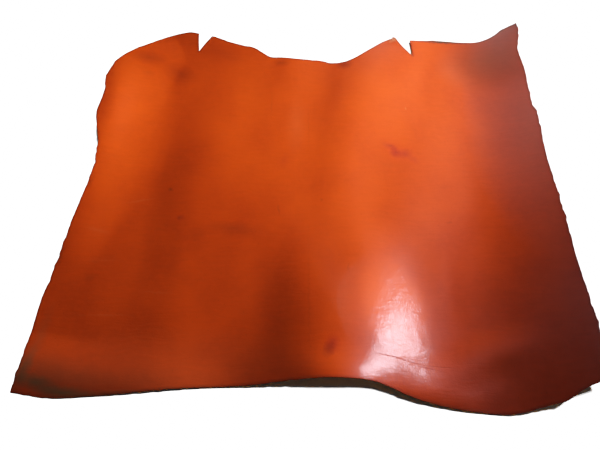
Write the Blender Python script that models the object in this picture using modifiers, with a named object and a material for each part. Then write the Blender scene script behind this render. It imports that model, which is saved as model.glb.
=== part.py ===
"""A leather double shoulder hide, laid out grain side up.

One sheet of even thickness. Its plan is a patch stretched between four edges, each a
smooth line through a few measured points. Long low swells and curled side edges lift
it off the surface, and everywhere else its flesh side lies flat at z = 0. Two narrow
notches are cut in the neck edge. Metres, +Z up, the neck edge towards +Y.
"""

import math
from collections import namedtuple

import bpy
import numpy as np
from mathutils import Matrix, Vector

Point = namedtuple("Point", "x y")
Swell = namedtuple("Swell", "name x y length width turn rise")
Notch = namedtuple("Notch", "tip_x tip_y lean opening")

# Driving dimensions: metres, with angles in degrees.
HIDE_THICKNESS = 0.0028
PRESSED_FLAT = 0.002
CELLS_ACROSS = 60
CELLS_BACK = 42
NOTCH_CUT_LENGTH = 0.12
NOTCH_CUT_HEIGHT = 0.10

HIDE_COLOUR = (0.52, 0.075, 0.012, 1.0)
HIDE_ROUGHNESS = 0.36
HIDE_COAT = 0.4

# The rear edge is the long knife cut across the animal's back, from left to right.
REAR_EDGE = (
    Point(x=-0.700, y=-0.526),
    Point(x=-0.610, y=-0.539),
    Point(x=-0.508, y=-0.535),
    Point(x=-0.298, y=-0.518),
    Point(x=-0.133, y=-0.511),
    Point(x=-0.027, y=-0.500),
    Point(x=0.080, y=-0.496),
    Point(x=0.157, y=-0.503),
    Point(x=0.255, y=-0.541),
    Point(x=0.385, y=-0.569),
    Point(x=0.487, y=-0.574),
    Point(x=0.555, y=-0.557),
    Point(x=0.602, y=-0.543),
    Point(x=0.632, y=-0.522),
    Point(x=0.657, y=-0.511),
    Point(x=0.700, y=-0.495),
)

# The right belly edge, from the rear corner to the tip of the ear flap.
RIGHT_EDGE = (
    Point(x=0.700, y=-0.495),
    Point(x=0.688, y=-0.369),
    Point(x=0.681, y=-0.291),
    Point(x=0.674, y=-0.209),
    Point(x=0.672, y=-0.121),
    Point(x=0.668, y=-0.029),
    Point(x=0.662, y=0.095),
    Point(x=0.663, y=0.148),
    Point(x=0.665, y=0.202),
    Point(x=0.664, y=0.229),
    Point(x=0.659, y=0.259),
    Point(x=0.658, y=0.317),
    Point(x=0.659, y=0.391),
    Point(x=0.653, y=0.469),
    Point(x=0.658, y=0.500),
    Point(x=0.667, y=0.534),
    Point(x=0.666, y=0.574),
)

# The neck edge, from the rounded left corner over both shoulders to the ear tip.
NECK_EDGE = (
    Point(x=-0.578, y=0.425),
    Point(x=-0.560, y=0.451),
    Point(x=-0.529, y=0.482),
    Point(x=-0.480, y=0.517),
    Point(x=-0.429, y=0.549),
    Point(x=-0.373, y=0.566),
    Point(x=-0.295, y=0.552),
    Point(x=-0.256, y=0.535),
    Point(x=-0.197, y=0.514),
    Point(x=-0.159, y=0.504),
    Point(x=-0.135, y=0.487),
    Point(x=-0.110, y=0.469),
    Point(x=-0.075, y=0.466),
    Point(x=-0.007, y=0.458),
    Point(x=0.049, y=0.452),
    Point(x=0.090, y=0.442),
    Point(x=0.115, y=0.444),
    Point(x=0.142, y=0.453),
    Point(x=0.200, y=0.490),
    Point(x=0.254, y=0.525),
    Point(x=0.288, y=0.538),
    Point(x=0.334, y=0.537),
    Point(x=0.394, y=0.533),
    Point(x=0.446, y=0.529),
    Point(x=0.506, y=0.521),
    Point(x=0.542, y=0.518),
    Point(x=0.579, y=0.528),
    Point(x=0.598, y=0.539),
    Point(x=0.618, y=0.554),
    Point(x=0.637, y=0.563),
    Point(x=0.666, y=0.574),
)

# The left belly edge, from the rear corner to the rounded neck corner.
LEFT_EDGE = (
    Point(x=-0.700, y=-0.526),
    Point(x=-0.694, y=-0.491),
    Point(x=-0.686, y=-0.435),
    Point(x=-0.679, y=-0.377),
    Point(x=-0.670, y=-0.296),
    Point(x=-0.660, y=-0.255),
    Point(x=-0.647, y=-0.191),
    Point(x=-0.638, y=-0.147),
    Point(x=-0.629, y=-0.103),
    Point(x=-0.606, y=-0.013),
    Point(x=-0.594, y=0.034),
    Point(x=-0.586, y=0.082),
    Point(x=-0.585, y=0.131),
    Point(x=-0.586, y=0.159),
    Point(x=-0.597, y=0.205),
    Point(x=-0.600, y=0.231),
    Point(x=-0.592, y=0.288),
    Point(x=-0.589, y=0.317),
    Point(x=-0.594, y=0.347),
    Point(x=-0.591, y=0.378),
    Point(x=-0.578, y=0.425),
)

# Each swell is a smooth oval rise, or a hollow where its rise is negative, centred at x, y.
# Turn 90 runs its length from rear to neck.
SWELLS = (
    Swell("rear hump", x=0.043, y=-0.562, length=1.71, width=0.63, turn=77, rise=0.0435),
    Swell("right belly curl", x=0.795, y=-0.154, length=5.05, width=0.76, turn=88, rise=0.0835),
    Swell("left belly curl", x=-0.625, y=0.254, length=1.40, width=0.55, turn=83, rise=0.0405),
    Swell("left shoulder ridge", x=-0.247, y=0.065, length=1.02, width=0.57, turn=85, rise=0.0125),
    Swell("right shoulder ridge", x=0.143, y=0.262, length=1.76, width=0.45, turn=65, rise=0.015),
    Swell("neck fold", x=-0.063, y=0.210, length=1.45, width=0.28, turn=83, rise=0.006),
    Swell("left rear swell", x=-0.314, y=-0.462, length=1.14, width=0.53, turn=97, rise=0.007),
    Swell("left rear corner", x=-0.632, y=-0.474, length=1.24, width=0.28, turn=-8, rise=0.0095),
    Swell("right belly fold", x=0.527, y=-0.337, length=1.96, width=0.55, turn=95, rise=0.007),
    Swell("left neck corner", x=-0.425, y=0.462, length=0.25, width=0.22, turn=-30, rise=0.004),
    Swell("right neck corner", x=0.563, y=0.483, length=0.42, width=0.34, turn=12, rise=0.008),
    Swell("rear edge curl", x=0.297, y=-0.491, length=0.41, width=0.32, turn=-10, rise=0.0165),
    Swell("right flank ridge", x=0.304, y=0.058, length=0.83, width=0.34, turn=84, rise=0.0055),
    Swell("mid back swell", x=-0.047, y=-0.172, length=0.56, width=0.24, turn=92, rise=0.0025),
    Swell("left shoulder point", x=-0.588, y=0.245, length=0.66, width=0.21, turn=87, rise=0.006),
    Swell("right neck swell", x=0.341, y=0.452, length=0.36, width=0.18, turn=60, rise=0.0015),
    Swell("left back swell", x=-0.172, y=-0.205, length=0.88, width=0.27, turn=89, rise=0.004),
    Swell("hump flank hollow", x=0.188, y=-0.311, length=0.402, width=0.309, turn=57, rise=-0.004),
    Swell("hump crest dip", x=0.200, y=-0.581, length=0.518, width=0.159, turn=87, rise=-0.0007),
    Swell("hump foot hollow", x=0.303, y=-0.461, length=0.423, width=0.197, turn=175, rise=-0.0065),
    Swell("hump side hollow", x=0.255, y=-0.415, length=0.245, width=0.187, turn=20, rise=-0.0025),
    Swell("hump crown", x=0.072, y=-0.500, length=0.208, width=0.321, turn=90, rise=0.0083),
    Swell("dip before the hump", x=0.261, y=-0.182, length=0.405, width=0.252, turn=120, rise=-0.0031),
    Swell("right curl foot", x=0.521, y=-0.314, length=0.996, width=0.417, turn=74, rise=0.0083),
    Swell("right rear ridge", x=0.436, y=-0.443, length=0.399, width=0.155, turn=20, rise=0.0056),
)

# Each notch is a narrow V. Lean turns it from straight back, opening is its full angle.
NOTCHES = {
    "notch_cutter_left": Notch(tip_x=-0.334, tip_y=0.492, lean=-14, opening=36),
    "notch_cutter_right": Notch(tip_x=0.337, tip_y=0.467, lean=18, opening=31),
}


def clear_scene():
    for item in list(bpy.data.objects):
        bpy.data.objects.remove(item, do_unlink=True)


def new_collection(name):
    collection = bpy.data.collections.new(name)
    bpy.context.scene.collection.children.link(collection)
    return collection


def move_to(item, collection):
    for owner in list(item.users_collection):
        owner.objects.unlink(item)
    collection.objects.link(item)


def smooth_edge(points, share, column):
    """Points at each share of an edge, on a cubic through its points, ruled by column."""
    knots = np.array(points)
    station = (knots[:, column] - knots[0, column]) / (knots[-1, column] - knots[0, column])
    gap = np.diff(station)
    chord = np.diff(knots, axis=0) / gap[:, None]
    slope = np.empty_like(knots)
    slope[0], slope[-1] = chord[0], chord[-1]
    mixed = chord[:-1] * gap[1:, None] + chord[1:] * gap[:-1, None]
    slope[1:-1] = mixed / (gap[1:] + gap[:-1])[:, None]
    span = np.clip(np.searchsorted(station, share, side="right") - 1, 0, len(gap) - 1)
    width = gap[span][:, None]
    t = (share - station[span])[:, None] / width
    start = (2 * t**3 - 3 * t**2 + 1) * knots[span] + (t**3 - 2 * t**2 + t) * width * slope[span]
    end = (3 * t**2 - 2 * t**3) * knots[span + 1] + (t**3 - t**2) * width * slope[span + 1]
    return start + end


def plan_of(across, back):
    """Plan points of a patch whose four sides are the hide's edges (a Coons patch)."""
    u, v = across[:, None], back[:, None]
    rear, neck = smooth_edge(REAR_EDGE, across, 0), smooth_edge(NECK_EDGE, across, 0)
    left, right = smooth_edge(LEFT_EDGE, back, 1), smooth_edge(RIGHT_EDGE, back, 1)
    corners = (
        (1 - u) * (1 - v) * np.array(REAR_EDGE[0])
        + u * (1 - v) * np.array(REAR_EDGE[-1])
        + (1 - u) * v * np.array(NECK_EDGE[0])
        + u * v * np.array(NECK_EDGE[-1])
    )
    return (1 - v) * rear + v * neck + (1 - u) * left + u * right - corners


def height_of(plan):
    """Height of the flesh side: each swell adds rise * (1 - r^2)^3 inside its own oval.

    The hide's weight then presses out what rises less than PRESSED_FLAT, with a soft bend.
    """
    rise = np.zeros(len(plan))
    for swell in SWELLS:
        turn = math.radians(swell.turn)
        x, y = plan[:, 0] - swell.x, plan[:, 1] - swell.y
        along = (x * math.cos(turn) + y * math.sin(turn)) / (swell.length / 2)
        across = (y * math.cos(turn) - x * math.sin(turn)) / (swell.width / 2)
        inside = np.clip(1 - along**2 - across**2, 0, None)
        rise += swell.rise * inside**3
    lifted = np.clip(rise - PRESSED_FLAT, 0, None)
    return lifted**2 / np.maximum(rise, PRESSED_FLAT)


def hide_material():
    material = bpy.data.materials.new("dyed_vegetable_tanned_leather")
    material.use_nodes = True
    shader = material.node_tree.nodes["Principled BSDF"]
    shader.inputs["Base Color"].default_value = HIDE_COLOUR
    shader.inputs["Roughness"].default_value = HIDE_ROUGHNESS
    shader.inputs["Metallic"].default_value = 0.0
    shader.inputs["Coat Weight"].default_value = HIDE_COAT
    return material


def make_sheet(collection):
    """The hide before its notches: a grid moved onto its plan and swells, then thickened."""
    bpy.ops.mesh.primitive_grid_add(x_subdivisions=CELLS_ACROSS, y_subdivisions=CELLS_BACK, size=1)
    hide = bpy.context.object
    hide.name = hide.data.name = "leather_hide"
    move_to(hide, collection)
    mesh = hide.data
    points = np.empty(len(mesh.vertices) * 3)
    mesh.vertices.foreach_get("co", points)
    points = points.reshape(-1, 3)
    plan = plan_of(points[:, 0] + 0.5, points[:, 1] + 0.5)
    placed = np.column_stack((plan, height_of(plan)))
    mesh.vertices.foreach_set("co", placed.ravel())
    mesh.update()
    mesh.shade_smooth()
    mesh.materials.append(hide_material())
    thicken = hide.modifiers.new("thickness", "SOLIDIFY")
    thicken.thickness = HIDE_THICKNESS
    thicken.offset = 1.0
    return hide


def make_notch_cutter(name, notch, collection):
    """A three-sided prism with one upright edge at the notch's tip, reaching past the rim."""
    bpy.ops.mesh.primitive_cylinder_add(vertices=3, radius=1, depth=NOTCH_CUT_HEIGHT)
    cutter = bpy.context.object
    cutter.name = cutter.data.name = name
    move_to(cutter, collection)
    half_mouth = NOTCH_CUT_LENGTH * math.tan(math.radians(notch.opening / 2))
    tip = max((vertex.co for vertex in cutter.data.vertices), key=lambda point: point.y).copy()
    tip.z = 0.0
    side = math.sin(math.radians(60))
    shape = Matrix.Diagonal((half_mouth / side, NOTCH_CUT_LENGTH / 1.5, 1.0, 1.0))
    facing = Matrix.Rotation(math.radians(180 + notch.lean), 4, "Z")
    place = Matrix.Translation(Vector((notch.tip_x, notch.tip_y, 0.0)))
    cutter.data.transform(place @ facing @ shape @ Matrix.Translation(-tip))
    cutter.hide_render = True
    cutter.display_type = "WIRE"
    return cutter


def cut_notches(hide, collection):
    for name, notch in NOTCHES.items():
        cut = hide.modifiers.new(name, "BOOLEAN")
        cut.operation = "DIFFERENCE"
        cut.solver = "EXACT"
        cut.object = make_notch_cutter(name, notch, collection)


def main():
    clear_scene()
    hide = make_sheet(new_collection("leather double shoulder hide"))
    cut_notches(hide, new_collection("notch cutters"))


main()
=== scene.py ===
import math

import bpy
import numpy as np
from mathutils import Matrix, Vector


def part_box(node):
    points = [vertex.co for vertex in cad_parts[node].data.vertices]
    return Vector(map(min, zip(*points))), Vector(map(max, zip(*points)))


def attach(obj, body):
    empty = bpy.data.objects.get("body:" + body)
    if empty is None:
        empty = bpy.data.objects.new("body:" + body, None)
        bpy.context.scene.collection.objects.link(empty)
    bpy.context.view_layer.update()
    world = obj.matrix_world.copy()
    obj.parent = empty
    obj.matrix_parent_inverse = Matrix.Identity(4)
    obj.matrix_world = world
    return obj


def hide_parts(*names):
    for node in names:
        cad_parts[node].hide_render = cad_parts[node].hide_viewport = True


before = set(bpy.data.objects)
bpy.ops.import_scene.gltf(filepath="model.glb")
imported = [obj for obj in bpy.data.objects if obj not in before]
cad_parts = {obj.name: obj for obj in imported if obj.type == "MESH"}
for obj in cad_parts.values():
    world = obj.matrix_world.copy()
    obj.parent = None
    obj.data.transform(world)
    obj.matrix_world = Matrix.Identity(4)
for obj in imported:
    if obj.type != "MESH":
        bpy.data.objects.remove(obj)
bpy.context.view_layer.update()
lowCorner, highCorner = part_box("leather_hide")
hideWidth = 1400  # every length below is in millimetres on a hide this wide
mm = (highCorner.x - lowCorner.x) / hideWidth
print("frame loaded: the hide is %.0f mm across" % (hideWidth * mm * 1000))

# The hide as it lies: its outline, its notches and how it rises from the floor.
hide = {
    "thickness": 2.8,
    "bellyThinning": 0.5,  # the bellies are looser and thinner than the back
    "bellyWidth": 170,
    "bellyEnd": 650,  # how far from the middle a belly is at its thinnest
    "pressedFlat": 2,  # what rises less than this is pressed flat by the hide's own weight
    "across": 1408,  # lengths along the rear and the neck, from rear to neck, and along each belly
    "acrossNeck": 1270,
    "depth": 1110,
    "leftDepth": 970,
    "rightDepth": 1080,
    "cell": 6.3,
    "closeLines": (0, 1.1, 3.4),  # grid lines beside every cut edge, so that its bend stays crisp
    "rearEdge": (
        (-700, -526), (-610, -539), (-508, -535), (-298, -518), (-133, -511), (-27, -500),
        (80, -496), (157, -503), (255, -541), (385, -569), (487, -574), (555, -557), (602, -543),
        (632, -522), (657, -511), (700, -495),
    ),
    "rightEdge": (
        (700, -495), (688, -369), (681, -291), (674, -209), (672, -121), (668, -29), (662, 95),
        (663, 148), (665, 202), (664, 229), (659, 259), (658, 317), (659, 391), (653, 469),
        (658, 500), (667, 534), (666, 574),
    ),
    "neckEdge": (
        (-578, 425), (-560, 451), (-529, 482), (-480, 517), (-429, 549), (-373, 566), (-295, 552),
        (-256, 535), (-197, 514), (-159, 504), (-135, 487), (-110, 469), (-75, 466), (-7, 458),
        (49, 452), (90, 442), (115, 444), (142, 453), (200, 490), (254, 525), (288, 538),
        (334, 537), (394, 533), (446, 529), (506, 521), (542, 518), (579, 528), (598, 539),
        (618, 554), (637, 563), (666, 574),
    ),
    "leftEdge": (
        (-700, -526), (-694, -491), (-686, -435), (-679, -377), (-670, -296), (-660, -255),
        (-647, -191), (-638, -147), (-629, -103), (-606, -13), (-594, 34), (-586, 82), (-585, 131),
        (-586, 159), (-597, 205), (-600, 231), (-592, 288), (-589, 317), (-594, 347), (-591, 378),
        (-578, 425),
    ),
    "rearRagged": ((0.5, 41, 0.3), (0.35, 23, 1.9)),  # size, wavelength and phase of the knife's wander
    "neckRagged": ((0.5, 53, 1.1), (0.4, 27, 0.2)),
    "bellyRagged": ((1.2, 67, 0.8), (0.9, 31, 2.4), (0.5, 17, 0.5)),
    "steadyShare": 0.55,  # the share of the wander that is there all along; the rest swells and dies
    "swellEvery": 310,
    "quietCorner": 0.03,  # share of an edge's length at each end where the wander fades out
}

# An oval rise each: centre, full length and width, turn of its length from across, and height.
swells = (
    {"at": (43, -562), "size": (1710, 630), "turn": 77, "rise": 43.5},  # hump in the rear edge
    {"at": (795, -154), "size": (5050, 760), "turn": 88, "rise": 83.5},  # right belly curling up
    {"at": (-625, 254), "size": (1400, 550), "turn": 83, "rise": 40.5},  # left belly curling up
    {"at": (-247, 65), "size": (1020, 570), "turn": 85, "rise": 12.5},  # left shoulder ridge
    {"at": (143, 262), "size": (1760, 450), "turn": 65, "rise": 15},  # right shoulder ridge
    {"at": (-63, 210), "size": (1450, 280), "turn": 83, "rise": 6},  # fold below the neck
    {"at": (-314, -462), "size": (1140, 530), "turn": 97, "rise": 7},  # left rear swell
    {"at": (-632, -474), "size": (1240, 280), "turn": -8, "rise": 9.5},  # left rear corner
    {"at": (527, -337), "size": (1960, 550), "turn": 95, "rise": 7},  # fold beside the right belly
    {"at": (-425, 462), "size": (250, 220), "turn": -30, "rise": 4},  # left neck corner
    {"at": (563, 483), "size": (420, 340), "turn": 12, "rise": 8},  # right neck corner
    {"at": (297, -491), "size": (410, 320), "turn": -10, "rise": 16.5},  # rear edge beside the hump
    {"at": (304, 58), "size": (830, 340), "turn": 84, "rise": 5.5},  # right flank ridge
    {"at": (-47, -172), "size": (560, 240), "turn": 92, "rise": 2.5},  # middle of the back
    {"at": (-588, 245), "size": (660, 210), "turn": 87, "rise": 6},  # left shoulder point
    {"at": (341, 452), "size": (360, 180), "turn": 60, "rise": 1.5},  # right of the neck
    {"at": (-172, -205), "size": (880, 270), "turn": 89, "rise": 4},  # left of the back
    {"at": (188, -311), "size": (402, 309), "turn": 57, "rise": -4},  # hollow down the hump's right flank
    {"at": (200, -581), "size": (518, 159), "turn": 87, "rise": -0.7},  # dip in the hump's crest
    {"at": (303, -461), "size": (423, 197), "turn": 175, "rise": -6.5},  # hollow at the hump's foot
    {"at": (255, -415), "size": (245, 187), "turn": 20, "rise": -2.5},  # hollow where the flank steepens
    {"at": (72, -500), "size": (208, 321), "turn": 90, "rise": 8.3},  # crown of the hump
    {"at": (261, -182), "size": (405, 252), "turn": 120, "rise": -3.1},  # shallow dip ahead of the hump
    {"at": (521, -314), "size": (996, 417), "turn": 74, "rise": 8.3},  # foot of the right belly's curl
    {"at": (436, -443), "size": (399, 155), "turn": 20, "rise": 5.6},  # ridge towards the right rear corner
    {"at": (288, 531), "size": (64, 64), "turn": 0, "rise": 1.5},  # flicked-up lip of the right notch
)

# Where the rear edge bends up again, along a line through two places.
rearLip = {"from": (84, -475), "to": (446, -529), "slope": 0.066, "softness": 4, "fade": 70}

# Each notch is a V from lip to tip to lip. A bow hollows that side of the V.
notches = (
    {
        "tip": (-333, 490), "leftLip": (-339, 562), "rightLip": (-296, 551),
        "bows": (0.5, -1.5), "reach": 75,
    },
    {
        "tip": (337, 468), "leftLip": (287, 538), "rightLip": (333, 529),
        "bows": (3.5, 1.0), "reach": 75,
    },
)

# The cut edge: how far it bulges, how near to a notch's tip the bulge fades, and its rings' heights,
# from -1 at the flesh side to 1 at the grain side.
rim = {"bulge": 0.6, "fadeAtTip": 8, "heights": (-0.93, -0.6, 0.0, 0.6, 0.93)}


def smoothEdge(points, share, axis):
    # Hermite cubics through the points, spaced by their own x (axis 0) or y (axis 1). A point's slope
    # is the mean of its two chords' slopes, each weighted by the length of the other chord.
    knots = np.array(points, float) * mm
    station = (knots[:, axis] - knots[0, axis]) / (knots[-1, axis] - knots[0, axis])
    gap = np.diff(station)
    chord = np.diff(knots, axis=0) / gap[:, None]
    middle = (chord[:-1] * gap[1:, None] + chord[1:] * gap[:-1, None]) / (gap[1:] + gap[:-1])[:, None]
    slope = np.vstack((chord[:1], middle, chord[-1:]))
    span = np.clip(np.searchsorted(station, share, side="right") - 1, 0, len(gap) - 1)
    width = gap[span][:, None]
    t = (share - station[span])[:, None] / width
    start = (2 * t**3 - 3 * t**2 + 1) * knots[span] + (t**3 - 2 * t**2 + t) * width * slope[span]
    end = (3 * t**2 - 2 * t**3) * knots[span + 1] + (t**3 - t**2) * width * slope[span + 1]
    return start + end


def raggedness(share, length, waves):
    # Sum of sine waves along the edge, which swell and die along it, and none at the corners.
    along = share * length
    wander = sum(size * np.sin(2 * np.pi * along / wave + phase) for size, wave, phase in waves)
    steady = hide["steadyShare"]
    swelling = steady + (1 - steady) * np.sin(2 * np.pi * along / hide["swellEvery"] + 1)
    return wander * swelling * np.clip(np.minimum(share, 1 - share) / hide["quietCorner"], 0, 1) * mm


def hidePlan(u, v):
    # Coons patch over the four edges: rear to neck blended by v, plus left to right blended by u,
    # less the bilinear blend of the four corners.
    rear, neck = smoothEdge(hide["rearEdge"], u, 0), smoothEdge(hide["neckEdge"], u, 0)
    left, right = smoothEdge(hide["leftEdge"], v, 1), smoothEdge(hide["rightEdge"], v, 1)
    rear[:, 1] += raggedness(u, hide["across"], hide["rearRagged"])
    neck[:, 1] += raggedness(u, hide["acrossNeck"], hide["neckRagged"])
    left[:, 0] += raggedness(v, hide["leftDepth"], hide["bellyRagged"])
    right[:, 0] += raggedness(1 - v, hide["rightDepth"], hide["bellyRagged"])
    rearLeft, rearRight = np.array(hide["rearEdge"][0]) * mm, np.array(hide["rearEdge"][-1]) * mm
    neckLeft, neckRight = np.array(hide["neckEdge"][0]) * mm, np.array(hide["neckEdge"][-1]) * mm
    u, v = u[None, :, None], v[:, None, None]
    ruled = (1 - v) * rear[None] + v * neck[None] + (1 - u) * left[:, None] + u * right[:, None]
    corners = (1 - v) * ((1 - u) * rearLeft + u * rearRight) + v * ((1 - u) * neckLeft + u * neckRight)
    return ruled - corners


walk = {"steps": 40, "stride": (1400, 1100)}  # about the hide's own size, so that every step lands nearer


def shareOf(point):
    # The patch's shares (u, v) of a place on it, walked in from its middle by the miss in x and in y.
    u, v = 0.5, 0.5
    for _ in range(walk["steps"]):
        reached = hidePlan(np.array([u]), np.array([v]))[0, 0] / mm
        u += (point[0] - reached[0]) / walk["stride"][0]
        v += (point[1] - reached[1]) / walk["stride"][1]
    return u, v


def gridLines(anchors, length):
    # Shares from 0 to 1: close lines on both sides of every anchor, and even steps between them.
    close = np.array(hide["closeLines"]) / length
    runs = []
    for start, end in zip(anchors[:-1], anchors[1:]):
        steps = round((end - start) * length / hide["cell"])
        even = np.linspace(start + close[-1], end - close[-1], steps)
        runs += [start + close[:-1], even, end - close[1:-1][::-1]]
    return np.concatenate(runs + [anchors[-1:]])


def openNotch(plan, u, v, notch, row, column):
    # Both copies of the slit's column go to the two sides of the V, a straight line with a bow of
    # 4 t (1 - t), and the rows beside it are drawn along by (1 - q^2)^2, q the distance over the reach.
    t = ((v[row:] - v[row]) / (1 - v[row]))[:, None]
    tip = np.array(notch["tip"], float)
    leftBow, rightBow = (4 * t * (1 - t) * np.array((bow, 0)) for bow in notch["bows"])
    left = tip + (np.array(notch["leftLip"]) - tip) * t - leftBow
    right = tip + (np.array(notch["rightLip"]) - tip) * t + rightBow
    beside = np.abs(u - u[column]) * hide["across"] / notch["reach"]
    pull = (1 - np.clip(beside, 0, 1) ** 2) ** 2
    slit = plan[row:, column].copy()
    plan[row:, : column + 1] += pull[None, : column + 1, None] * (left * mm - slit)[:, None]
    plan[row:, column + 1 :] += pull[None, column + 1 :, None] * (right * mm - slit)[:, None]
    return right[1:] * mm


def riseOf(x, y):
    # Every swell adds rise * (1 - r^2)^3 inside its own oval, r running from 0 in its middle to 1.
    total = np.zeros(len(x))
    for swell in swells:
        turn = math.radians(swell["turn"])
        dx, dy = x - swell["at"][0], y - swell["at"][1]
        along = (dx * math.cos(turn) + dy * math.sin(turn)) / (swell["size"][0] / 2)
        across = (dy * math.cos(turn) - dx * math.sin(turn)) / (swell["size"][1] / 2)
        total += swell["rise"] * np.clip(1 - along**2 - across**2, 0, None) ** 3
    # The lip adds slope * w * ln(1 + e^(d / w)) at d beyond its line, fading in and out along it.
    start, end = np.array(rearLip["from"], float), np.array(rearLip["to"], float)
    length = np.linalg.norm(end - start)
    ahead = (end - start) / length
    along = (x - start[0]) * ahead[0] + (y - start[1]) * ahead[1]
    beyond = (x - start[0]) * ahead[1] - (y - start[1]) * ahead[0]
    within = np.clip(np.minimum(along, length - along) / rearLip["fade"], 0, 1)
    bend = rearLip["softness"] * np.logaddexp(0, beyond / rearLip["softness"])
    total += rearLip["slope"] * bend * within**2 * (3 - 2 * within)
    return total


def pressed(rise):
    # The hide's weight flattens what rises less than the pressed height c: (rise - c)^2 / rise above it.
    c = hide["pressedFlat"]
    return np.clip(rise - c, 0, None) ** 2 / np.maximum(rise, c)


def borderLoop(grid, beyondSlit, slits):
    # Every border point once, anticlockwise from the left rear corner, in and out of each notch.
    path, stop = [grid[0], grid[1:, -1]], grid.shape[1] - 2
    for row, column in slits[::-1]:
        path.append(grid[-1, column + 1 : stop + 1][::-1])
        path += [beyondSlit[row + 1 :, column][::-1], grid[row:, column]]
        stop = column - 1
    path += [grid[-1, : stop + 1][::-1], grid[1:-1, 0][::-1]]
    return np.concatenate(path)


def layOut():
    # The plan's points and their numbers on the grid, twice: along a notch's slit every point has a
    # second copy, which is what the grid meets beyond the slit.
    shares = [shareOf(notch["tip"]) for notch in notches]
    u = gridLines([0.0] + [across for across, back in shares] + [1.0], hide["across"])
    v = gridLines([0.0, 1.0], hide["depth"])
    slits = [(int(np.abs(v - back).argmin()), int(np.abs(u - across).argmin())) for across, back in shares]
    plan = hidePlan(u, v)
    grid = np.arange(plan.shape[0] * plan.shape[1]).reshape(plan.shape[:2])
    beyondSlit = grid.copy()
    copies, used = [], grid.size
    for notch, (row, column) in zip(notches, slits):
        side = openNotch(plan, u, v, notch, row, column)
        beyondSlit[row + 1 :, column] = used + np.arange(len(side))
        used += len(side)
        copies.append(side)
    return np.vstack([plan.reshape(-1, 2)] + copies), grid, beyondSlit, slits


def rimRings(border, under, over):
    # Rings of points around the cut edge. The rim is a superellipse standing on the border:
    # bulge * (1 - s^4)^(1/4) outward at height share s, and no bulge at a notch's tip.
    ahead, behind = np.roll(border, -1, axis=0), np.roll(border, 1, axis=0)
    outward = np.column_stack(((ahead - behind)[:, 1], (behind - ahead)[:, 0]))
    outward /= np.linalg.norm(outward, axis=1)[:, None]
    tips = np.array([notch["tip"] for notch in notches]) * mm
    fromTip = np.linalg.norm(border[:, None] - tips[None], axis=2).min(axis=1)
    bulge = rim["bulge"] * mm * np.clip(fromTip / (rim["fadeAtTip"] * mm), 0, 1)
    rings = []
    for s in rim["heights"]:
        level = (under + (over - under) * (1 + s) / 2) * mm
        reach = bulge * (1 - s**4) ** 0.25
        rings.append(np.column_stack((border + outward * reach[:, None], level)))
    return rings


def distanceFrom(border, plan):
    # millimetres from each point of the plan to the border's nearest, taken in lots to spare memory
    lots = np.array_split(plan, 40)
    return np.concatenate([
        np.linalg.norm(lot[:, None] - border[None], axis=2).min(axis=1) / mm for lot in lots
    ])


def makeHide():
    # The flesh side and the grain side are the grid at two heights, and the rings close them.
    plan, grid, beyondSlit, slits = layOut()
    x, y = plan[:, 0] / mm, plan[:, 1] / mm
    under = pressed(riseOf(x, y))
    belly = np.clip(1 - (hide["bellyEnd"] - np.abs(x)) / hide["bellyWidth"], 0, 1)
    over = under + hide["thickness"] - hide["bellyThinning"] * belly**2

    loop = borderLoop(grid, beyondSlit, slits)
    rings = rimRings(plan[loop], under[loop], over[loop])
    low = np.column_stack((plan, under * mm))
    high = np.column_stack((plan, over * mm))
    points = np.vstack([low, high] + rings)

    count, length = len(plan), len(loop)
    left, right = beyondSlit, grid
    corners = (left[:-1, :-1], right[:-1, 1:], right[1:, 1:], left[1:, :-1])
    quads = np.stack(corners, axis=-1).reshape(-1, 4)
    ladder = [loop] + [2 * count + k * length + np.arange(length) for k in range(len(rings))] + [loop + count]
    walls = [
        np.column_stack((lower, np.roll(lower, -1), np.roll(upper, -1), upper))
        for lower, upper in zip(ladder[:-1], ladder[1:])
    ]
    faces = np.vstack([quads + count, quads[:, ::-1]] + walls)
    # Grain side 0, flesh side 1 and cut edge 2. The topmost ring of faces still belongs to the grain.
    finish = np.repeat((0, 1, 2, 0), (len(quads), len(quads), length * (len(walls) - 1), length))

    mesh = bpy.data.meshes.new("hideSheet")
    mesh.from_pydata(points.tolist(), [], faces.tolist())
    mesh.polygons.foreach_set("material_index", finish)
    mesh.polygons.foreach_set("use_smooth", np.ones(len(faces), bool))
    mesh.update()
    inland = distanceFrom(plan[loop], plan)
    fromRim = np.concatenate((inland, inland, np.zeros(length * len(rings))))
    mesh.attributes.new("fromRim", "FLOAT", "POINT").data.foreach_set("value", fromRim.astype(np.float32))
    print("hide sheet: %d faces, %d around the rim" % (len(faces), length))
    sheet = bpy.data.objects.new("hideSheet", mesh)
    bpy.context.scene.collection.objects.link(sheet)
    return sheet


def linear(code):
    # sRGB hex to linear colour
    parts = [int(code[i : i + 2], 16) / 255 for i in (1, 3, 5)]
    return tuple(c / 12.92 if c <= 0.04045 else ((c + 0.055) / 1.055) ** 2.4 for c in parts) + (1.0,)


def addNode(tree, kind, inputs=None, out=0, **settings):
    # A node with its settings, its values and its links. It gives back one of its outputs.
    made = tree.nodes.new(kind)
    for name, value in settings.items():
        setattr(made, name, value)
    for key, value in (inputs or {}).items():
        if isinstance(value, bpy.types.NodeSocket):
            tree.links.new(value, made.inputs[key])
        else:
            made.inputs[key].default_value = value
    return made.outputs[out]


def noiseOf(tree, place, size, detail, out=0):
    # noise whose features are about this many millimetres across
    inputs = {"Vector": place, "Scale": perMetre(size), "Detail": detail}
    return addNode(tree, "ShaderNodeTexNoise", inputs, out)


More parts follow.
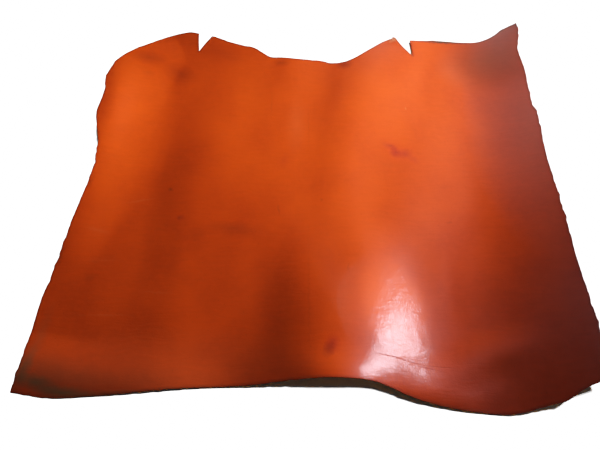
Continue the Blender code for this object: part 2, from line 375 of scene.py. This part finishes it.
def ranged(tree, value, span, to=(0.0, 1.0)):
    # a value's place in one span carried over to another, and held at its ends
    inputs = {"Value": value, "From Min": span[0], "From Max": span[1], "To Min": to[0], "To Max": to[1]}
    return addNode(tree, "ShaderNodeMapRange", inputs)


def mixed(tree, share, below, above, blend="MIX"):
    # One colour laid over another by a share. Sockets 6 and 7 of the node are its colours, 2 is their mix.
    inputs = {"Factor": share, 6: below, 7: above}
    return addNode(tree, "ShaderNodeMix", inputs, 2, data_type="RGBA", blend_type=blend)


def bumped(tree, height, depth, below=None):
    # a normal tilted by a height of this many millimetres, on top of another normal where there is one
    inputs = {"Height": height, "Distance": depth * mm, "Strength": 1.0}
    if below:
        inputs["Normal"] = below
    return addNode(tree, "ShaderNodeBump", inputs)


def vectorMath(tree, operation, *values, out=0):
    # an operation on vectors, with its values in the order of the node's inputs
    return addNode(tree, "ShaderNodeVectorMath", dict(enumerate(values)), out, operation=operation)


def newMaterial(name):
    material = bpy.data.materials.new(name)
    material.use_nodes = True
    tree = material.node_tree
    return material, tree, tree.nodes["Principled BSDF"], addNode(tree, "ShaderNodeTexCoord", out="Object")


def perMetre(size):
    # how many features of this many millimetres make a metre
    return 1 / (size * mm)


# A span is the stretch of a pattern's own values that is used. A share is how much of a tint is laid on.
grain = {
    "dye": "#E24409",
    "deepDye": "#D33E08",
    "paleDye": "#E8480E",
    "cloud": 120,  # the hide takes the dye unevenly, in clouds
    "cloudSpan": (0.36, 0.64),
    "mottle": 16,
    "mottleSpan": (0.42, 0.78),
    "mottleShare": 0.4,
    "stroke": (70, 7),  # strokes of the dye sponge across the hide
    "strokeBend": (90, 40),  # how long their swerves are, and how far they swerve
    "strokeSpan": (0.3, 0.7),
    "strokeTone": (0.965, 1.03),
    "strokeDepth": 0.2,
    "pore": 3.6,  # hair pores, really 0.3 mm apart, drawn coarser so that they show
    "poreSpan": (0.0, 0.45),
    "poreTone": 0.93,
    "poreDepth": 0.07,
    "speck": 15,  # spacing of the few open pores that took up more dye
    "speckSpan": (0.05, 0.13),
    "speckTone": 0.86,
    "cockle": 20,  # slight unevenness that makes a reflection's edge ragged
    "cockleDepth": 0.26,
    # painted shade darkens the creases
    "creaseShadeTint": "#4A150A",
    "creaseShadeShare": 0.25,
    "creaseDepth": 0.13,
    "rimTint": "#4A150A",
    "rimShare": 0.45,
    "rimWidth": 8,
    "raggedSize": 11,  # the marks' borders are torn by a noise of this size
    "raggedReach": (14, 10),
    "roughness": (0.31, 0.39),
    "roughSpan": (0.3, 0.7),
    "coat": 0.98,
    "coatRoughness": 0.13,
}

# Marks of the hide and its handling, with painted sheen, a painted highlight, painted shade and a painted
# shadow among them, in the order in which they lie on each other. Each is an
# oval: x, y, length, width, turn of the length and strength in its middle.
marksAndPaintedLight = {
    "paintedSheen": {  # painted sheen: a pinkish grey shine, most of it on the right belly and on the ear flap
        "tint": "#C79A98",
        "ovals": (
            (665, 225, 900, 400, 88, 0.30),
            (610, 490, 260, 200, 60, 0.12),
            (640, -330, 500, 240, 90, 0.06),
            (530, 450, 280, 200, 20, 0.06),
        ),
    },
    "scuffsAndLipHighlight": {  # rubbed pale
        # rubbed pale, and a painted highlight on the right notch's lip
        "tint": "#F08A5C",
        "ovals": (
            (300, 273, 10, 9, 0, 0.30),
            (-458, -29, 110, 8, 10, 0.13),
            (-557, -116, 86, 13, -12, 0.12),
            (-534, -201, 120, 6, 0, 0.12),
            (-380, -286, 116, 6, -5, 0.12),
            (-510, -344, 170, 6, 0, 0.12),
            (-25, 213, 220, 70, 88, 0.05),
            (-400, -510, 1100, 300, 0, 0.09),
            (282, 532, 44, 26, 35, 0.80),  # lip of the right notch: painted highlight where the flicked-up lip catches the light
        ),
    },
    "healed": {  # scratches and bites, where the skin took more of the red
        "tint": "#A01E1C",
        "ovals": (
            (244, 143, 52, 26, -20, 0.60),
            (257, 122, 38, 42, 0, 0.85),
            (284, 118, 50, 38, 10, 0.65),
            (309, 98, 44, 28, -30, 0.35),
            (62, -420, 60, 44, 68, 0.60),
            (-338, -80, 30, 20, 0, 0.40),
            (-60, 92, 60, 30, 70, 0.15),
        ),
    },
    "stainsAndShadowLine": {  # dark: stains, and a painted shadow line along the neck edge right of the right notch
        "tint": "#4A150A",
        "ovals": (
            # along the neck edge
            (-482, 455, 130, 58, -6, 0.44),
            (-384, 402, 120, 80, -35, 0.42),
            (-263, 482, 190, 90, -20, 0.22),
            (-73, 445, 64, 36, 0, 0.40),
            (123, 435, 60, 44, 20, 0.60),
            # painted shadow: a dark line along the neck edge right of the right notch
            (438, 525, 210, 14, -4, 1.2),
            (-430, 533, 90, 26, 28, 0.22),
            (-476, 396, 46, 26, 0, 0.18),
            (-110, 474, 50, 16, -30, 0.30),
            # along the left belly edge
            (-555, -246, 46, 26, 10, 0.20),
            (-590, 20, 60, 16, 75, 0.30),
            (-640, -190, 90, 16, 78, 0.25),
            (-578, 290, 330, 56, 88, 0.22),
            # specks and smudges on the back
            (245, 144, 18, 10, 20, 0.25),
            (261, 122, 18, 12, -30, 0.22),
            (-373, 4, 17, 16, 0, 0.50),
            (-340, -82, 16, 12, 30, 0.20),
            (-73, -60, 40, 8, -80, 0.30),
            (-195, -112, 150, 44, -5, 0.20),
            (-180, -120, 210, 60, -4, 0.14),
            (-290, -130, 70, 50, 40, 0.12),
            (54, -430, 54, 34, 60, 0.45),
            (108, -223, 26, 8, 90, 0.30),
            (387, -93, 24, 8, 0, 0.25),
            (43, -31, 12, 11, 0, 0.30),
            # faint streaks down the spine
            (7, -295, 460, 9, 90, 0.10),
            (10, 215, 190, 8, 90, 0.12),
            (-100, 282, 120, 9, 90, 0.14),
        ),
    },
    "paintedOliveShade": {  # painted shade in olive grey, most of it in the left rear corner where it bends away and along the rear edge
        "tint": "#665739",
        "ovals": (
            (-678, -474, 130, 44, 76, 0.50),
            (-642, -505, 130, 44, -14, 0.62),
            (-575, -528, 170, 36, -2, 0.75),
            (-470, -532, 240, 24, 2, 0.45),
            (-300, -520, 300, 14, 3, 0.30),
            (-600, -495, 330, 110, -6, 0.20),
            (-640, -470, 190, 110, -15, 0.12),
            (-450, -505, 560, 80, 0, 0.08),
            (-655, -400, 190, 40, 80, 0.20),
            (438, 525, 200, 12, -4, 0.50),  # painted shadow line along the neck edge right of the right notch
            (560, 440, 330, 230, 20, 0.30),  # painted shade with a dim grey sheen on the ear flap
        ),
    },
}
# Creases pressed into the grain where the hide was folded: points along each, and its width. A bump dents
# them and painted shade darkens them.
creases = (
    {"along": ((171, -440), (214, -448), (241, -457), (283, -467), (324, -471), (352, -473)), "width": 3.2},
    {"along": ((196, -444), (236, -452)), "width": 1.8},
    {"along": ((262, -468), (318, -480)), "width": 2.2},
)


def creaseOvals():
    # Every stretch between two points becomes a long oval, 1.7 times its length to overlap its neighbours.
    for crease in creases:
        points = crease["along"]
        for (x0, y0), (x1, y1) in zip(points[:-1], points[1:]):
            length = 1.7 * math.hypot(x1 - x0, y1 - y0)
            turn = math.degrees(math.atan2(y1 - y0, x1 - x0))
            yield (x0 + x1) / 2, (y0 + y1) / 2, length, crease["width"], turn, 1.0


def ovalsOn(tree, place, ovals):
    # Every oval fades from its strength in the middle to nothing at its border. They add.
    total = 0.0
    for x, y, length, width, turn, strength in ovals:
        own = addNode(tree, "ShaderNodeMapping", {
            "Vector": place,
            "Location": (x * mm, y * mm, 0),
            "Rotation": (0, 0, math.radians(turn)),
            "Scale": (length / 2 * mm, width / 2 * mm, 1),
        }, vector_type="TEXTURE")
        oval = addNode(tree, "ShaderNodeTexGradient", {"Vector": own}, "Fac", gradient_type="SPHERICAL")
        total = addNode(tree, "ShaderNodeMath", {0: oval, 1: strength, 2: total}, operation="MULTIPLY_ADD")
    return total


def raggedPlace(tree, place):
    # the place pushed about by a noise, so that the marks' borders come out torn
    push = noiseOf(tree, place, grain["raggedSize"], 3, "Color")
    centred = vectorMath(tree, "SUBTRACT", push, (0.5, 0.5, 0.5))
    reachX, reachY = grain["raggedReach"]
    return vectorMath(tree, "MULTIPLY_ADD", centred, (reachX * mm, reachY * mm, 0), place)


def spongeStrokes(tree, place):
    # long thin noise across the hide, swerving as the hand did
    along, across = grain["stroke"]
    bendLength, bendReach = grain["strokeBend"]
    bent = noiseOf(tree, place, bendLength, 2, "Color")
    swerve = vectorMath(tree, "MULTIPLY_ADD", bent, (0, bendReach * mm, 0), place)
    stretched = addNode(tree, "ShaderNodeMapping", {
        "Vector": swerve, "Scale": (perMetre(along), perMetre(across), perMetre(along)),
    })
    return addNode(tree, "ShaderNodeTexNoise", {"Vector": stretched, "Scale": 1.0, "Detail": 4})


def poresOf(tree, place, spacing):
    # distance to the nearest of many scattered points
    return addNode(tree, "ShaderNodeTexVoronoi", {"Vector": place, "Scale": perMetre(spacing)}, "Distance")


def grainLeather():
    # Vegetable-tanned full grain, aniline dyed and glazed: a deep, slightly cloudy orange under a clear
    # shine, with the marks of the animal's life left in it.
    material, tree, shader, place = newMaterial("glazedAnilineDyedGrain")

    cloudy = ranged(tree, noiseOf(tree, place, grain["cloud"], 3), grain["cloudSpan"])
    colour = mixed(tree, cloudy, linear(grain["deepDye"]), linear(grain["dye"]))
    mottle = noiseOf(tree, place, grain["mottle"], 5)
    pale = ranged(tree, mottle, grain["mottleSpan"], (0.0, grain["mottleShare"]))
    colour = mixed(tree, pale, colour, linear(grain["paleDye"]))

    strokes = spongeStrokes(tree, place)
    pores = poresOf(tree, place, grain["pore"])
    specks = poresOf(tree, place, grain["speck"])
    for tone in (
        ranged(tree, strokes, grain["strokeSpan"], grain["strokeTone"]),
        ranged(tree, pores, grain["poreSpan"], (grain["poreTone"], 1.0)),
        ranged(tree, specks, grain["speckSpan"], (grain["speckTone"], 1.0)),
    ):
        colour = mixed(tree, 1.0, colour, tone, "MULTIPLY")

    torn = raggedPlace(tree, place)
    # the marks laid on in turn, the painted sheen, highlight, shade and shadow among them
    for kind in marksAndPaintedLight.values():
        colour = mixed(tree, ovalsOn(tree, torn, kind["ovals"]), colour, linear(kind["tint"]))
    fromRim = addNode(tree, "ShaderNodeAttribute", out="Fac", attribute_name="fromRim")
    atRim = ranged(tree, fromRim, (0.0, grain["rimWidth"]), (grain["rimShare"], 0.0))
    colour = mixed(tree, atRim, colour, linear(grain["rimTint"]))
    creased = ovalsOn(tree, place, creaseOvals())
    # painted shade laid into the creases
    creaseShadeShare = addNode(tree, "ShaderNodeMath", {0: creased, 1: grain["creaseShadeShare"]}, operation="MULTIPLY")
    colour = mixed(tree, creaseShadeShare, colour, linear(grain["creaseShadeTint"]))
    tree.links.new(colour, shader.inputs["Base Color"])

    tree.links.new(ranged(tree, mottle, grain["roughSpan"], grain["roughness"]), shader.inputs["Roughness"])
    shader.inputs["Coat Weight"].default_value = grain["coat"]
    shader.inputs["Coat Roughness"].default_value = grain["coatRoughness"]

    cockles = noiseOf(tree, place, grain["cockle"], 4)
    uncreased = addNode(tree, "ShaderNodeMath", {0: 1.0, 1: creased}, operation="SUBTRACT")
    normal = bumped(tree, cockles, grain["cockleDepth"])
    normal = bumped(tree, strokes, grain["strokeDepth"], normal)
    normal = bumped(tree, pores, grain["poreDepth"], normal)
    normal = bumped(tree, uncreased, grain["creaseDepth"], normal)
    tree.links.new(normal, shader.inputs["Normal"])
    tree.links.new(normal, shader.inputs["Coat Normal"])
    return material


flesh = {
    "pale": "#C08E5A",
    "deep": "#9E6936",
    "cloud": 60,
    "nap": 3.0,
    "napDepth": 0.5,
    "span": (0.75, 1.25),
    "roughness": 0.95,
    "shine": 0.3,
    "sheen": 0.25,
    "sheenRoughness": 0.5,
}


def fleshSuede():
    # The flesh side, shaved and left undyed: a dry tan nap with no shine.
    material, tree, shader, place = newMaterial("shavedFleshSuede")
    clouds = noiseOf(tree, place, flesh["cloud"], 5)
    nap = noiseOf(tree, place, flesh["nap"], 3)
    both = addNode(tree, "ShaderNodeMath", {0: clouds, 1: nap}, operation="ADD")
    colour = mixed(tree, ranged(tree, both, flesh["span"]), linear(flesh["deep"]), linear(flesh["pale"]))
    tree.links.new(colour, shader.inputs["Base Color"])
    tree.links.new(bumped(tree, nap, flesh["napDepth"]), shader.inputs["Normal"])
    shader.inputs["Roughness"].default_value = flesh["roughness"]
    shader.inputs["Specular IOR Level"].default_value = flesh["shine"]
    shader.inputs["Sheen Weight"].default_value = flesh["sheen"]
    shader.inputs["Sheen Roughness"].default_value = flesh["sheenRoughness"]
    return material


edge = {
    "pale": "#B8602C",
    "deep": "#7E3A18",
    "fibre": 2.0,
    "fibreDepth": 0.3,
    "span": (0.35, 0.65),
    "roughness": 0.85,
}


def cutEdge():
    # The knife cut through the hide: dark where the dye has crept in, and slightly fibrous.
    material, tree, shader, place = newMaterial("knifeCutHideEdge")
    fibres = noiseOf(tree, place, edge["fibre"], 4)
    colour = mixed(tree, ranged(tree, fibres, edge["span"]), linear(edge["deep"]), linear(edge["pale"]))
    tree.links.new(colour, shader.inputs["Base Color"])
    tree.links.new(bumped(tree, fibres, edge["fibreDepth"]), shader.inputs["Normal"])
    shader.inputs["Roughness"].default_value = edge["roughness"]
    return material


sheet = makeHide()
for material in (grainLeather(), fleshSuede(), cutEdge()):
    sheet.data.materials.append(material)
    print("material %s: %d nodes" % (material.name, len(material.node_tree.nodes)))

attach(sheet, "root")
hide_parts("leather_hide")

sweep = {"size": 40, "below": 0.0002, "white": "#F2F2F2"}  # in metres; its top just clears the flesh side


def makeFloor():
    # A plain matte white floor. It neither lights the hide nor shows in its shine.
    bpy.ops.mesh.primitive_plane_add(size=sweep["size"], location=(0, 0, -sweep["below"]))
    floor = bpy.context.object
    floor.name = "studioFloor"
    material, tree, shader, place = newMaterial("matteWhiteSweep")
    shader.inputs["Base Color"].default_value = linear(sweep["white"])
    shader.inputs["Roughness"].default_value = 1.0
    shader.inputs["Specular IOR Level"].default_value = 0.0
    floor.data.materials.append(material)
    floor.visible_diffuse = floor.visible_glossy = False
    return floor


floor = makeFloor()

camera = {"at": (-15.1, -587.8, 1209.2), "tilt": 22, "lens": 29, "sensor": 36}


def makeCamera():
    data = bpy.data.cameras.new("camera")
    data.lens, data.sensor_width = camera["lens"], camera["sensor"]
    holder = bpy.data.objects.new("camera", data)
    bpy.context.scene.collection.objects.link(holder)
    holder.location = Vector(camera["at"]) * mm
    holder.rotation_euler = (math.radians(camera["tilt"]), 0, 0)
    bpy.context.scene.camera = holder


makeCamera()
print("floor and camera placed")

# Soft daylight from the right and from behind, very low, so that it rakes over the swells.
lowSky = {"name": "lowSky", "at": (2153, 1243, 261), "to": (0, 0, 0), "size": (600, 250), "watts": 78.3}
# Weaker lamps of one make, with a narrow spread, each for one part of the hide.
softLampMake = {"size": (350, 250), "spread": 45}
softLamps = (
    {"name": "leftShoulderHigh", "at": (901, 575, 676), "to": (-500, 200, 0), "watts": 0.372},
    {"name": "rearHigh", "at": (111, 388, 1386), "to": (250, -400, 0), "watts": 0.242},
    {"name": "leftShoulder", "at": (1012, 605, 333), "to": (-500, 200, 0), "watts": 2.42},
    {"name": "leftBack", "at": (1262, 305, 333), "to": (-250, -100, 0), "watts": 0.539},
    {"name": "rightNeck", "at": (2012, 855, 333), "to": (500, 450, 0), "watts": 5.55},
    {"name": "leftRear", "at": (857, 707, 333), "to": (-250, -400, 0), "watts": 0.351},
    {"name": "middleRear", "at": (1107, 707, 333), "to": (0, -400, 0), "watts": 2.11},
)
# A soft round light from above on the rear edge, stretched along its own length.
overhead = {
    "at": (219, -323, 1400),
    "to": (219, -323, 0),
    "watts": 63,
    "cone": 7.9,
    "blend": 1.0,
    "radius": 10,
    "stretch": (1, 1.62),
    "turn": 16.5,
}
# Windows that show only as shine on the hide. All face one place on it.
shineAim = (200, -350, 0)
windows = (
    {
        "name": "window", "at": (2030, 422, 2829), "to": shineAim,
        "size": (352, 276), "watts": 21.4, "colour": (1, 0.577, 0.661),
    },
    {
        "name": "farWindow", "at": (575, 2067, 818), "to": shineAim,
        "size": (261, 385), "watts": 5, "colour": (1, 0.95, 0.95),
    },
)
allRound = 180  # the spread of a lamp that isn't narrowed, in degrees
# The floor has its own sun, and a weak warm bounce that reaches under the hide.
floorSun = {"watts": 12.5, "from": (0.32, 0.44, 1.0), "angle": 6}
floorBounce = {"watts": 0.08, "colour": (1.0, 0.35, 0.05)}


def hangLamp(data, watts, at, to, onto):
    # a lamp at one place, pointing to another and lighting one collection only
    data.energy = watts
    holder = bpy.data.objects.new(data.name, data)
    bpy.context.scene.collection.objects.link(holder)
    holder.location = Vector(at) * mm
    holder.rotation_euler = (Vector(to) - Vector(at)).to_track_quat("-Z", "Y").to_euler()
    holder.light_linking.receiver_collection = onto
    return holder


def areaLamp(lamp, size, spread, onto):
    data = bpy.data.lights.new(lamp["name"], "AREA")
    data.shape, data.spread = "RECTANGLE", math.radians(spread)
    data.size, data.size_y = size[0] * mm, size[1] * mm
    return hangLamp(data, lamp["watts"], lamp["at"], lamp["to"], onto)


def overheadLamp(onto):
    # It hangs straight above its place, so that its own turn is all the turn that it needs.
    spot = bpy.data.lights.new("overhead", "SPOT")
    spot.spot_size, spot.spot_blend = math.radians(overhead["cone"]), overhead["blend"]
    spot.shadow_soft_size = overhead["radius"] * mm
    holder = hangLamp(spot, overhead["watts"], overhead["at"], overhead["to"], onto)
    holder.rotation_euler = (0, 0, math.radians(overhead["turn"]))
    holder.scale = (*overhead["stretch"], 1)
    return holder


def lightHide():
    # The lamps that light the hide don't show in its shine, and the windows show in nothing else.
    onHide = bpy.data.collections.new("lit by the lamps")
    onHide.objects.link(sheet)
    lamps = [areaLamp(lowSky, lowSky["size"], allRound, onHide)]
    for lamp in softLamps:
        lamps.append(areaLamp(lamp, softLampMake["size"], softLampMake["spread"], onHide))
    for window in windows:
        holder = areaLamp(window, window["size"], allRound, onHide)
        holder.visible_diffuse = False
        holder.data.color = window["colour"]
    lamps.append(overheadLamp(onHide))
    for holder in lamps:
        holder.visible_glossy = False


def lightFloor():
    onFloor = bpy.data.collections.new("lit by the sun")
    onFloor.objects.link(floor)
    sun = bpy.data.lights.new("floorSun", "SUN")
    sun.angle = math.radians(floorSun["angle"])
    hangLamp(sun, floorSun["watts"], floorSun["from"], (0, 0, 0), onFloor)
    bounce = bpy.data.lights.new("floorBounce", "SUN")
    bounce.color, bounce.use_shadow = floorBounce["colour"], False
    hangLamp(bounce, floorBounce["watts"], (0, 0, 1), (0, 0, 0), onFloor)


lightHide()
lightFloor()
print("lamps hung: %d" % len(bpy.data.lights))

room = {"seen": 2.4, "fill": 0.0176, "shine": 0.026}
# Soft glows of the room that show only as shine: each grows as the direction nears its own.
glows = (
    {"towards": (0.813, -0.334, -0.477), "span": (0.321, 0.724), "colour": (0.258, 0.232, 0.254)},
    {"towards": (0.482, 0.533, 0.696), "span": (0.900, 1.149), "colour": (0.806, 0.580, 0.806)},
)


def makeWorld():
    # The room is white where it is looked at. It gives the hide a weak even fill and a graded shine.
    world = bpy.data.worlds.new("paleRoom")
    bpy.context.scene.world = world
    world.use_nodes = True
    world.cycles.sampling_method = "NONE"  # so that only the rays that reach it see it, each by its kind
    tree = world.node_tree
    direction = addNode(tree, "ShaderNodeTexCoord", out="Generated")
    shine = (room["shine"],) * 3
    for glow in glows:
        nearness = vectorMath(tree, "DOT_PRODUCT", direction, glow["towards"], out="Value")
        share = addNode(tree, "ShaderNodeMapRange", {
            "Value": nearness, "From Min": glow["span"][0], "From Max": glow["span"][1],
        }, interpolation_type="SMOOTHSTEP")
        shine = vectorMath(tree, "MULTIPLY_ADD", share, glow["colour"], shine)
    colour = shine
    for kind, level in (("Is Diffuse Ray", room["fill"]), ("Is Camera Ray", room["seen"])):
        met = addNode(tree, "ShaderNodeLightPath", out=kind)
        colour = mixed(tree, met, colour, (level, level, level, 1))
    tree.links.new(colour, tree.nodes["Background"].inputs["Color"])


# The tone curve: true light, as a share of whiteLevel, and what is shown. It rolls off towards white.
tone = {
    "whiteLevel": 2.2,
    "points": ((0.159, 0.35), (0.221, 0.447), (0.352, 0.6), (0.595, 0.824), (0.795, 0.95)),
}


def setTone():
    view = bpy.context.scene.view_settings
    view.view_transform = "Standard"
    view.use_curve_mapping = True
    mapping = view.curve_mapping
    mapping.white_level = (tone["whiteLevel"],) * 3
    mapping.extend = "HORIZONTAL"
    combined = mapping.curves[3]
    for share, shown in tone["points"]:
        combined.points.new(share, shown)
    mapping.update()


makeWorld()
setTone()
print("room and tone set")

print("scene ready")
